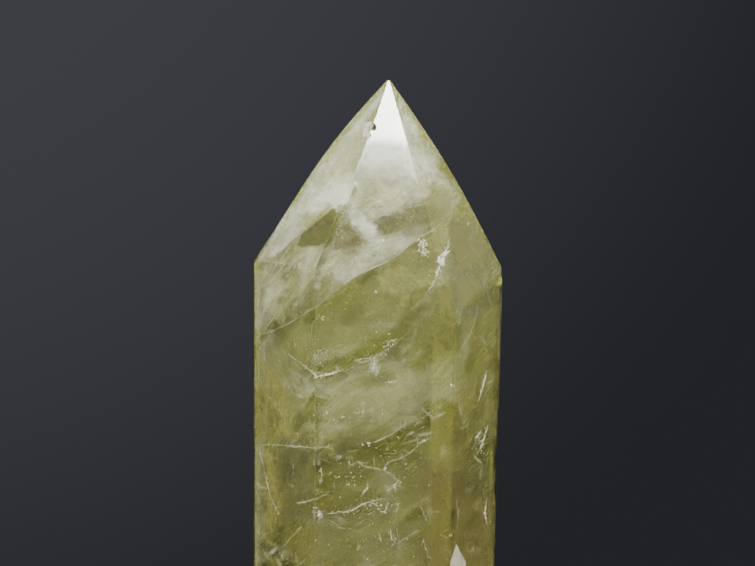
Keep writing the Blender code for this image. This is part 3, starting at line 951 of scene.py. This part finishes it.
# Open cracks with painted glints, a bright glow in place of the light they would mirror, as they show from
# the
# front: depth, brightness, then x, z and half width along each, in millimetres.
openLines = {
    "tear": (1.2, 1, [(14.6, 98.2, 0.05), (14.3, 96.8, 0.12), (14.1, 95.9, 0.26), (13.6, 94.6, 0.36),
        (13.2, 93.6, 0.42), (12.9, 92.8, 0.24), (12.2, 91.3, 0.22), (11.3, 88.7, 0.16), (9.8, 86.9, 0.04)]),
    "tearTip": (1.4, 1, [(14.9, 95.6, 0.04), (14.2, 95.2, 0.25), (13.3, 94.9, 0.3), (12.9, 94.2, 0.1)]),
    "tearFoot": (1.4, 1, [(12.6, 91.9, 0.15), (12.9, 90.8, 0.1), (12.8, 89.9, 0.03)]),
    "veeLeft": (0.5, 1, [(-18.1, 74.6, 0.03), (-16.3, 73.2, 0.06), (-14.8, 72.1, 0.08),
        (-13, 70.6, 0.14), (-12.2, 69.8, 0.2)]),
    "veeRight": (0.5, 1, [(-12.7, 70.2, 0.14), (-11.9, 69.9, 0.3), (-10.4, 70.4, 0.28), (-9, 70.7, 0.2),
        (-7.3, 71.2, 0.05)]),
    "veeTail": (0.6, 0.7, [(-7.6, 71, 0.05), (-6.2, 71.3, 0.03), (-4.7, 72, 0.04)]),
    "veeTop": (0.8, 0.7, [(-13.3, 80.4, 0.04), (-13.4, 78.6, 0.06), (-13.9, 77.2, 0.04)]),
    "arcLow": (2, 1, [(-4.6, 73.2, 0.1), (-3.4, 73.5, 0.14), (-1.7, 73.7, 0.07), (0.1, 74.4, 0.07),
        (1.7, 75.4, 0.05), (3.2, 76.3, 0.07), (4.5, 77.4, 0.04), (6.3, 78.9, 0.03)]),
    "arcTwin": (2.4, 0.8, [(-3.8, 72.8, 0.04), (-2, 73.1, 0.05), (-0.4, 73.8, 0.04), (1.3, 74.9, 0.02)]),
    "arcFar": (2, 0.3, [(6.3, 78.9, 0.02), (8.4, 82.2, 0.03), (9.4, 84.4, 0.01)]),
    "fanLeft": (2.2, 0.7, [(-1.3, 73.4, 0.03), (-1.5, 71.8, 0.08), (-2, 69.9, 0.02)]),
    "fanMid": (2.2, 0.9, [(-0.6, 73.7, 0.03), (-0.8, 72, 0.2), (-1.1, 71, 0.04)]),
    "fanRight": (2.2, 0.7, [(0.2, 73.8, 0.02), (-0.2, 71.8, 0.08), (-0.4, 69.2, 0.02)]),
    "lens": (1.4, 1, [(1.5, 68.8, 0.02), (2.7, 68.8, 0.14), (4, 69, 0.02)]),
    "ridge": (0.3, 1, [(-1.5, 119.4, 0.05), (-2, 117.9, 0.24), (-2.4, 116.2, 0.16), (-3.2, 114.4, 0.07),
        (-4.4, 111.9, 0.04)]),
    "ridgeFoot": (0.4, 0.9, [(-4.7, 111.3, 0.05), (-5.7, 110.9, 0.12), (-6.7, 110.4, 0.03)]),
    "starWest": (2, 1, [(-10.4, 42.3, 0.1), (-9.6, 42.2, 0.15), (-7.9, 42.5, 0.08), (-5.6, 42.7, 0.12),
        (-4, 43.5, 0.16), (-2.3, 44.4, 0.12), (-0.7, 44.9, 0.06), (0.9, 45.1, 0.02)]),
    "starSouth": (2, 0.9, [(-1.8, 44.6, 0.03), (-0.6, 44.2, 0.08), (0.2, 43.4, 0.05), (0.7, 42.5, 0.03)]),
    "starEast": (2, 1, [(0.5, 42.5, 0.04), (1.5, 42.7, 0.16), (1.8, 43.4, 0.1), (2.2, 44.6, 0.03)]),
    "starRay": (2.2, 0.6, [(-12, 43.6, 0.02), (-11.8, 42, 0.05), (-12.1, 40.2, 0.02)]),
    "starRayLong": (2.2, 0.5, [(-14, 41.2, 0.02), (-11.9, 42, 0.05), (-10.4, 43, 0.02)]),
    "starTwin": (2.6, 0.7, [(-4.9, 39.7, 0.05), (-3.5, 40.2, 0.12), (-2.6, 41, 0.05), (-1.4, 41.3, 0.03)]),
    "starBelow": (2.6, 0.8, [(-9.8, 40.9, 0.04), (-8.4, 40.1, 0.1), (-7.4, 39.3, 0.14),
        (-6.4, 39.2, 0.04)]),
    "hook": (1.8, 1, [(4.3, 49, 0.05), (3.9, 48.4, 0.12), (3.3, 47.8, 0.16), (2.7, 47.3, 0.08),
        (1.8, 46.7, 0.03)]),
    "hookSpur": (1.8, 1, [(3.4, 48, 0.05), (3.7, 47.3, 0.06), (4, 47, 0.02)]),
    "comma": (1.8, 1, [(-2, 48.4, 0.05), (-2.1, 47.3, 0.12), (-2.5, 46.9, 0.14), (-3, 46.3, 0.1),
        (-3.3, 45.7, 0.03)]),
    "post": (1.8, 0.9, [(4, 44.3, 0.05), (4.2, 43.4, 0.07), (3.6, 42.5, 0.1)]),
    "webTop": (1.2, 0.7, [(-4.2, 52.9, 0.02), (-3.3, 52.2, 0.07), (-2, 51.6, 0.07), (-0.1, 51.3, 0.05),
        (2.2, 50.6, 0.04), (3.7, 49.1, 0.03)]),
    "spring": (1, 0.85, [(1.3, 51.3, 0.08), (2.6, 52.8, 0.04), (5.2, 53.7, 0.05), (8.6, 56.2, 0.05),
        (11.2, 57.9, 0.02)]),
    "springHead": (1, 0.9, [(8.2, 56.3, 0.05), (9.2, 56.8, 0.22), (10.2, 57.4, 0.05)]),
    "greenLine": (1.2, 0.5, [(-0.6, 56.5, 0.1), (1, 57.4, 0.16), (2.9, 58.3, 0.05), (5.8, 60.4, 0.03)]),
    "beltLine": (1, 0.45, [(7.5, 60, 0.03), (10.2, 62.4, 0.05), (13.9, 64.8, 0.03)]),
    "stepLine": (0.8, 0.75, [(-23.5, 56.1, 0.04), (-20, 56.1, 0.06), (-16.5, 55.8, 0.05),
        (-13.6, 55.6, 0.12), (-11.9, 55.4, 0.06), (-9.8, 55.9, 0.02)]),
    "leftLine": (0.6, 1, [(-24, 56.1, 0.03), (-23.6, 53.8, 0.07), (-23.2, 52, 0.04), (-22.6, 49.6, 0.12),
        (-22.1, 47.4, 0.09), (-21.6, 45.4, 0.04), (-19.9, 42, 0.03)]),
    "leftSpur": (0.6, 0.8, [(-24.4, 48.4, 0.03), (-23.7, 47.7, 0.07), (-23, 47.2, 0.02)]),
    "leftSlant": (0.7, 0.9, [(-23, 66.9, 0.03), (-22.3, 66, 0.1), (-21.2, 64.9, 0.07),
        (-20.3, 63.8, 0.1), (-19, 62.1, 0.03)]),
    "leftTick": (1, 0.9, [(-18.7, 69.5, 0.03), (-18.7, 68.8, 0.1), (-18.8, 68.1, 0.03)]),
    "leftTickTop": (1, 0.8, [(-16.9, 77.8, 0.03), (-16.9, 77.2, 0.08), (-16.6, 76.3, 0.02)]),
    "paleBar": (1, 0.65, [(-16.3, 44.3, 0.2), (-14.4, 44.6, 0.2), (-12.9, 45.1, 0.16), (-11, 45.9, 0.06),
        (-9.7, 46.6, 0.03)]),
    "leftGold": (1.2, 0.35, [(-16.8, 52.5, 0.1), (-17, 51.4, 0.24), (-17.1, 50.2, 0.08)]),
    "peg": (1.2, 1, [(-11.3, 51.5, 0.04), (-11.4, 50.8, 0.12), (-11.2, 49.9, 0.04)]),
    "pegs": (1.6, 0.9, [(-5.8, 52.9, 0.04), (-5.7, 52.4, 0.12), (-5.6, 52, 0.03)]),
    "pegTwin": (1.6, 0.8, [(-4.9, 52.7, 0.04), (-4.8, 52.2, 0.1), (-4.8, 51.8, 0.03)]),
    "rightSliver": (1, 1, [(22.2, 45.6, 0.03), (21.9, 43.6, 0.12), (21.8, 42, 0.3), (22, 40.8, 0.18),
        (22.3, 39.8, 0.03)]),
    "rightSlant": (1, 1, [(22, 70.8, 0.05), (21.7, 69.4, 0.34), (21.2, 67.4, 0.3), (20.8, 66, 0.14),
        (20.3, 64.8, 0.03)]),
    "rightShade": (0.9, 0, [(22.4, 69.6, 0.05), (22.1, 67.6, 0.22), (21.5, 65.8, 0.05)]),
    "rightWhite": (1.2, 1, [(20.9, 58.9, 0.06), (20.2, 57.9, 0.3), (19.8, 57.2, 0.1)]),
    "rightGold": (1.2, 0.55, [(22.4, 60.2, 0.05), (21.7, 58, 0.35), (21, 55.8, 0.3), (20, 54, 0.12),
        (19.4, 52.9, 0.03)]),
    "rightArc": (1.4, 0.4, [(18.4, 97, 0.03), (20.7, 94, 0.08), (22.1, 89.1, 0.1), (22.3, 86, 0.03)]),
    "rightVein": (1.4, 0.35, [(20.4, 84.6, 0.05), (20, 82.4, 0.12), (19, 79.2, 0.1), (17.4, 76.2, 0.12),
        (16.6, 73.4, 0.03)]),
    "lowChain": (1, 0.7, [(-15.3, 39.6, 0.05), (-16, 38.9, 0.12), (-17.4, 37.5, 0.05),
        (-17.9, 36.9, 0.1), (-18.6, 35.8, 0.03)]),
    "lowStreak": (1.2, 0.8, [(0.2, 38.2, 0.04), (0.5, 37.4, 0.13), (0.8, 36.6, 0.05)]),
    "lowDrop": (1.2, 0.9, [(2.6, 39.2, 0.04), (2.7, 38.2, 0.1), (2.9, 37.2, 0.2), (3, 36.8, 0.05)]),
    "lowRay": (1.2, 0.45, [(3.7, 36, 0.05), (5.6, 37.2, 0.12), (8.2, 38.8, 0.04)]),
    "lowNeedle": (1, 0.8, [(9.2, 37.4, 0.03), (9.6, 35.7, 0.09), (10.4, 33, 0.03)]),
    "lowTick": (1.2, 0.7, [(-4.2, 34.8, 0.03), (-3.8, 35.4, 0.09), (-3.4, 36, 0.03)]),
    "leftNeedle": (1, 0.7, [(-16.6, 34.4, 0.04), (-16.4, 33.3, 0.09), (-16.1, 32, 0.03)]),
    "chain": (1.4, 0.6, [(8.5, 44, 0.14), (9, 43.2, 0.05), (9.5, 41.8, 0.12), (10, 40.8, 0.03)]),
    "bandTick": (2, 0.8, [(-5.2, 93.8, 0.04), (-5.2, 93, 0.1), (-5.5, 92.2, 0.04)]),
}


def directionAt(line, number):
    return (line[min(number + 1, len(line) - 1)] - line[max(number - 1, 0)]).normalized()


def halfAt(halves, share):  # the half width at a share of the way along
    place = share * (len(halves) - 1)
    lower = min(int(place), len(halves) - 2)
    return halves[lower] + (halves[lower + 1] - halves[lower]) * (place - lower)


def addRibbon(bm, glint, line, halves, brightness, facing, seed):  # a thin bright strip, uneven on both sides
    last = len(line) - 1
    grain = slivers["grain"]
    usual, varies = slivers["glint"]
    shift = Vector((seed * 1.7, 0, 0))
    strip = bmesh.ops.create_grid(bm, x_segments=last, y_segments=1, size=0.5)
    for vert in strip["verts"]:
        number = round((vert.co.x + 0.5) * last)
        side = 1 if vert.co.y > 0 else 2
        point = line[number]
        uneven = slivers["ragged"] * noise.noise(point * grain["sides"] + shift * side)
        half = halfAt(halves, number / last) * max(slivers["least"], 1 + uneven)
        across = directionAt(line, number).cross(facing).normalized()
        middle = point + across * noise.noise(point * grain["jog"] + shift) * slivers["jog"] * mm
        vert.co = middle + across * (-half if side == 1 else half) * mm
        shine = usual + varies * noise.noise(point * grain["glint"] + shift)
        vert[glint] = brightness * max(slivers["least"], shine)


flakes = {
    "corners": 5,
    "ragged": 0.4,
    "swing": 0.5,  # radians that a flake turns away from the front, more or less
    "turns": (0, 6),
    "scatter": 0.5,  # how far from the middle of its cluster or grain it lies, against the half size
    "vary": (0.4, 1.1),
    "depths": (-0.8, 2.0),  # millimetres nearer and further than its cluster's depth
    "margin": 0.2,
    "seed": 23,
    "fill": {"count": 1500, "size": (0.04, 0.16), "glint": (0.3, 1.0), "margin": 0.4, "facing": 3.0},
    "grain": {"flakes": 4, "size": (0.3, 0.6)},
}


def addFlake(bm, glint, point, size, brightness, draw, facing=1.0, stretch=(0.4, 1)):
    tip = Matrix.Rotation(math.pi / 2 + draw.gauss(0, flakes["swing"]) * facing, 4, "X")
    swing = Matrix.Rotation(draw.gauss(0, flakes["swing"]) * facing, 4, "Z")
    turn = swing @ tip @ Matrix.Rotation(draw.uniform(*flakes["turns"]), 4, "Z")
    squashed = draw.uniform(*stretch)
    flake = bmesh.ops.create_circle(bm, cap_ends=True, segments=flakes["corners"], radius=size * mm)
    for vert in flake["verts"]:
        vert.co *= 1 + draw.uniform(-1, 1) * flakes["ragged"]
        vert.co.y *= squashed
        vert.co = turn @ vert.co + point
        vert[glint] = brightness


def breakUp(bm, glint, line, halves, brightness, facing, draw):  # shards and side twigs along a crack
    for number, point in enumerate(line):
        half = halfAt(halves, number / (len(line) - 1))
        for shard in range(shards["each"]):
            if draw.random() > shards["share"]:
                continue
            size = (shards["extraSize"] + half) * draw.uniform(*shards["size"])
            shift = scatter(draw, 1) * (shards["extraSpread"] + half) * shards["spread"] * mm
            shine = brightness * draw.uniform(*shards["glint"])
            addFlake(bm, glint, point + shift, size, shine, draw, stretch=shards["stretch"])
        if draw.random() < twigs["share"]:
            turn = Matrix.Rotation(draw.choice((-1, 1)) * draw.gauss(*twigs["turn"]), 3, "Y")
            course = turn @ directionAt(line, number)
            length = draw.uniform(*twigs["length"]) * mm
            twig = [point + course * length * step / twigs["steps"] for step in range(twigs["steps"] + 1)]
            addRibbon(bm, glint, twig, [twigs["half"], tipHalf], brightness * twigs["glint"], facing, number)


threads = {  # fine cracks all through the stone
    "count": 150,
    "seed": 7,
    "length": (1.0, 6.0),
    "steps": 8,
    "half": (0.012, 0.035),
    "waist": 0.6,  # how much of its width a thread has at its middle
    "glint": (0.3, 0.8),
    "margin": 0.3,
    "course": ((0.6, 0.6), (0, 0.8), (0.4, 0.6)),  # middle and spread of its direction along x, y and z
    "bend": 0.18,
    "bendScale": (300, 0.4),  # from place to place, and from step to step along a thread
    "tilt": 0.5,
}


def threadLine(draw, length, start, number):
    course = Vector([draw.gauss(*along) for along in threads["course"]]).normalized()
    placeScale, stepScale = threads["bendScale"]
    line = []
    for step in range(threads["steps"] + 1):
        swirl = Vector((noise.noise(start * placeScale + Vector((step, 0, number)) * stepScale), 0,
                        noise.noise(start * placeScale + Vector((0, step, number)) * stepScale)))
        along = step / threads["steps"] - 0.5
        line.append(start + course * length * along + swirl * length * threads["bend"])
    return line


def openCracks():
    bm = bmesh.new()
    glint = bm.verts.layers.float.new("glint")
    front = Vector((0, -1, 0))
    draw = random.Random(slivers["seed"])
    thin, broad = slivers["slender"]
    for seed, (depth, brightness, places) in enumerate(openLines.values()):
        spots = [seenAt(x, z, depth) for x, z, half in places]
        line = smoothLine(spots, slivers["step"] * mm)
        halves = [half for x, z, half in places]
        kept = [half * (thin + (broad - thin) * smoothStep(half, *slivers["widths"])) for half in halves]
        addRibbon(bm, glint, line, kept, brightness, front, seed)
        breakUp(bm, glint, line, halves, brightness, front, draw)
    draw = random.Random(threads["seed"])
    for number in range(threads["count"]):
        length = draw.uniform(*threads["length"]) * mm
        start = insidePlace(draw, length + threads["margin"] * mm)
        line = threadLine(draw, length, start, number)
        half = draw.uniform(*threads["half"])
        tilt = threads["tilt"]
        facing = Vector((draw.gauss(0, tilt), draw.choice((-1, 1)), draw.gauss(0, tilt)))
        halves = [tipHalf, half, half * threads["waist"], half, tipHalf]
        addRibbon(bm, glint, line, halves, draw.uniform(*threads["glint"]), facing, number)
    setInStone(meshPiece("open_cracks", bm, glintMaterial()))


openCracks()
print("open cracks done")


# Clusters of flakes with painted glints, as they show from the front: x, z, half sizes, count, flake size,
# depth and brightness.
clusters = [
    (-11.4, 74.6, 3.6, 1.7, 110, 0.11, 1, 0.9), (-14.2, 76.5, 1.2, 2.4, 30, 0.09, 1, 0.7),
    (-7.4, 98.7, 0.8, 3.1, 70, 0.13, 1.5, 0.9), (9.1, 97, 0.9, 0.8, 46, 0.24, 1, 1),
    (9.3, 95.2, 1, 0.8, 46, 0.24, 1, 1), (5.2, 107.6, 1.8, 1.5, 60, 0.17, 1, 0.9),
    (-11.9, 42.1, 0.8, 0.8, 40, 0.17, 0.8, 1), (0, 43.8, 2.6, 0.9, 50, 0.1, 1, 1),
    (-2, 118.8, 0.5, 0.9, 24, 0.13, 0.3, 1), (-3.2, 62.9, 1.2, 0.5, 16, 0.16, 1.25, 0.9),
    (0.7, 62.6, 0.5, 0.8, 9, 0.15, 1.25, 0.9), (-18, 91.4, 4.4, 3.6, 70, 0.14, 1, 0.8),
    (20.6, 57, 1.3, 3.6, 44, 0.16, 0.6, 0.8), (-5.6, 111, 0.9, 0.5, 14, 0.12, 0.5, 1),
    (2.4, 76.3, 2.2, 1.8, 26, 0.15, 1, 1), (-1.8, 42.8, 3.2, 2.6, 50, 0.13, 1.2, 0.8),
    (-5.4, 50.4, 5, 3.6, 50, 0.12, 1.1, 0.8), (5.4, 52.2, 5, 6, 50, 0.12, 1.1, 0.8),
    (-18, 58, 5.6, 10, 40, 0.1, 0.8, 0.7), (20.4, 74, 3, 14, 40, 0.1, 0.7, 0.6),
    (-19, 36.6, 4.4, 5, 50, 0.12, 0.8, 0.7), (2, 36.4, 9, 5, 60, 0.12, 1, 0.7),
    (3, 103.4, 4.4, 3, 44, 0.11, 1.5, 0.8), (-13, 88, 8, 5, 70, 0.1, 1.2, 0.7),
    (10, 106.5, 3, 5, 26, 0.1, 1.2, 0.7),
]
# painted glints, like the flakes above
grains = [  # single bright grains: x, z, size and depth
    (-0.3, 87.2, 0.34, 1.2), (10.4, 90.4, 0.22, 1.2), (10.4, 109.6, 0.2, 1), (-11.1, 81.6, 0.4, 1),
    (18.4, 100.9, 0.3, 1), (-1.6, 56.3, 0.4, 1.5), (-3.1, 56.2, 0.26, 1.5), (1.3, 51.3, 0.3, 1.5),
    (5.7, 52.3, 0.22, 1.5), (-5.9, 48.1, 0.22, 1.5), (-4.8, 49.5, 0.24, 1.5), (-4.7, 48.1, 0.16, 1.5),
    (-9.5, 50.5, 0.16, 1.5), (-7.8, 49.7, 0.2, 1.5), (-10.2, 62.6, 0.32, 1.5), (-7.1, 61.8, 0.26, 1.5),
    (-8.9, 61.2, 0.2, 1.5), (-22, 68, 0.22, 1), (-20, 60.6, 0.18, 1), (10.3, 47.9, 0.18, 1.5),
    (-12.5, 43.4, 0.2, 1.5), (-2.1, 33, 0.18, 1.5), (15, 68.2, 0.22, 1), (-16.2, 58.3, 0.4, 1.5),
    (1.2, 76.1, 0.3, 1.8), (2.3, 76.4, 0.3, 1.8), (3.1, 77.2, 0.36, 1.8), (2.2, 75.2, 0.22, 1.8),
    (2.4, 78.8, 0.26, 1.8), (4.2, 57.6, 0.2, 1.5), (0.6, 53.9, 0.14, 1.5), (14.9, 37.8, 0.2, 1),
    (1.2, 97.6, 0.3, 1.2), (-1.9, 98.3, 0.14, 1.2), (3.5, 94.9, 0.16, 1.2), (-19.8, 73.2, 0.16, 1),
]


def sparks():
    bm = bmesh.new()
    glint = bm.verts.layers.float.new("glint")
    draw = random.Random(flakes["seed"])
    wide, vary = flakes["scatter"], flakes["vary"]
    for x, z, halfX, halfZ, count, size, depth, brightness in clusters:
        for number in range(count):
            across = draw.gauss(0, wide)
            up = draw.gauss(0, wide)
            spot = seenAt(x + across * halfX, z + up * halfZ, depth + draw.uniform(*flakes["depths"]))
            if spot and depthInside(spot) > flakes["margin"] * mm:
                addFlake(bm, glint, spot, size * draw.uniform(*vary), brightness * draw.uniform(*vary), draw)
    for x, z, size, depth in grains:
        spot = seenAt(x, z, depth)
        for number in range(flakes["grain"]["flakes"]):
            shift = scatter(draw, wide) * size * mm
            addFlake(bm, glint, spot + shift, size * draw.uniform(*flakes["grain"]["size"]), 1.0, draw)
    fill = flakes["fill"]
    for number in range(fill["count"]):
        point = insidePlace(draw, fill["margin"] * mm)
        size = draw.uniform(*fill["size"])
        addFlake(bm, glint, point, size, draw.uniform(*fill["glint"]), draw, facing=fill["facing"])
    setInStone(meshPiece("sparks", bm, bpy.data.materials["openCrack"], smooth=False))


sparks()
print("sparks done")
